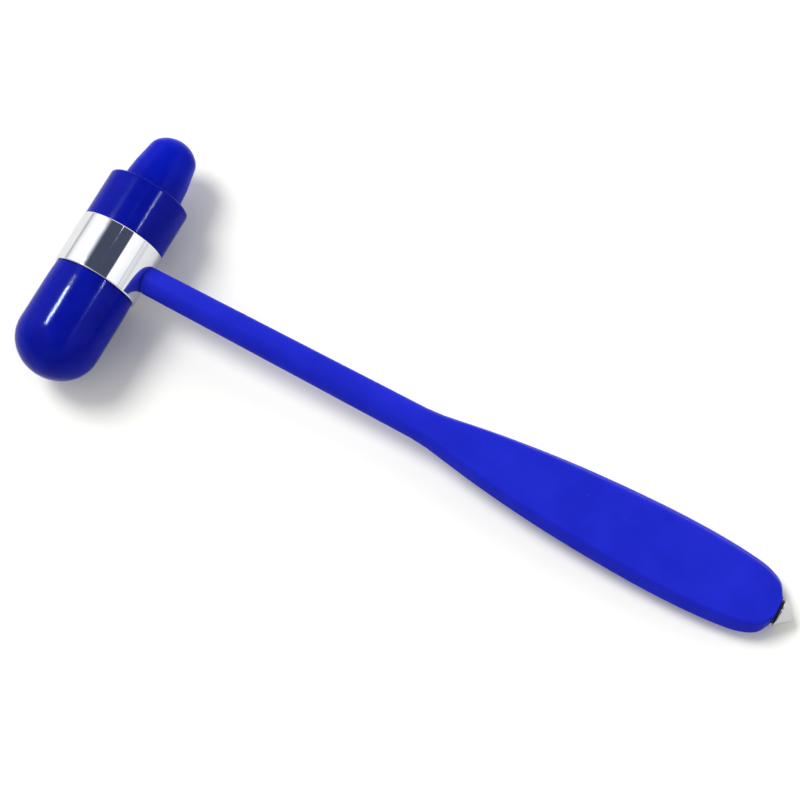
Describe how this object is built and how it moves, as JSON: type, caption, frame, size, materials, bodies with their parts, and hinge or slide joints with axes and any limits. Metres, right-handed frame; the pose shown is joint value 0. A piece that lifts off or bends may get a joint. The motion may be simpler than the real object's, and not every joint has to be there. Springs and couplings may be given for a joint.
{
  "type": "reflex hammer",
  "caption": "Neurological reflex hammer with a large and a small rubber mallet on a banded head, a flat-ended plastic handle and a screw-in pointed tip.",
  "frame": {"origin": "centre of the head, where the head's axis crosses the handle's axis", "axes": "+X along the handle to the pointed tip, +Y along the head to the small mallet, +Z square to the paddle's flat faces"},
  "size_m": [0.2388, 0.0834, 0.027],
  "materials": {
    "blue_rubber": "gloss",
    "blue_plastic": "satin",
    "chrome_plate": "polished",
    "plain_steel": "satin",
    "brass": "satin",
    "black_rubber": "satin",
    "white_nylon": "matte"
  },
  "bodies": {
    "hammer": {"large_mallet": "blue_rubber", "small_mallet": "blue_rubber", "head_band": "chrome_plate", "head_core": "plain_steel", "large_mallet_stud": "plain_steel", "small_mallet_stud": "plain_steel", "shaft_rod": "plain_steel", "handle": "blue_plastic", "tip_insert": "brass"},
    "tip_seal": {"tip_seal_ring": "black_rubber"},
    "tip": {"pointed_tip": "chrome_plate", "brush_ferrule": "brass", "brush_bristles": "white_nylon"}
  },
  "joints": [
    {"name": "tip_travel", "type": "slide", "parent": "hammer", "child": "tip_seal", "axis": [1, 0, 0], "range_m": [0, 0.0056]},
    {"name": "tip_turn", "type": "hinge", "parent": "tip_seal", "child": "tip", "pos_m": [0.2207, 0, 0], "axis": [1, 0, 0], "range_deg": [0, 2520]}
  ],
  "couplings": [
    {"joint": "tip_turn", "follows": "tip_travel", "rad_per_m": 7854}
  ]
}
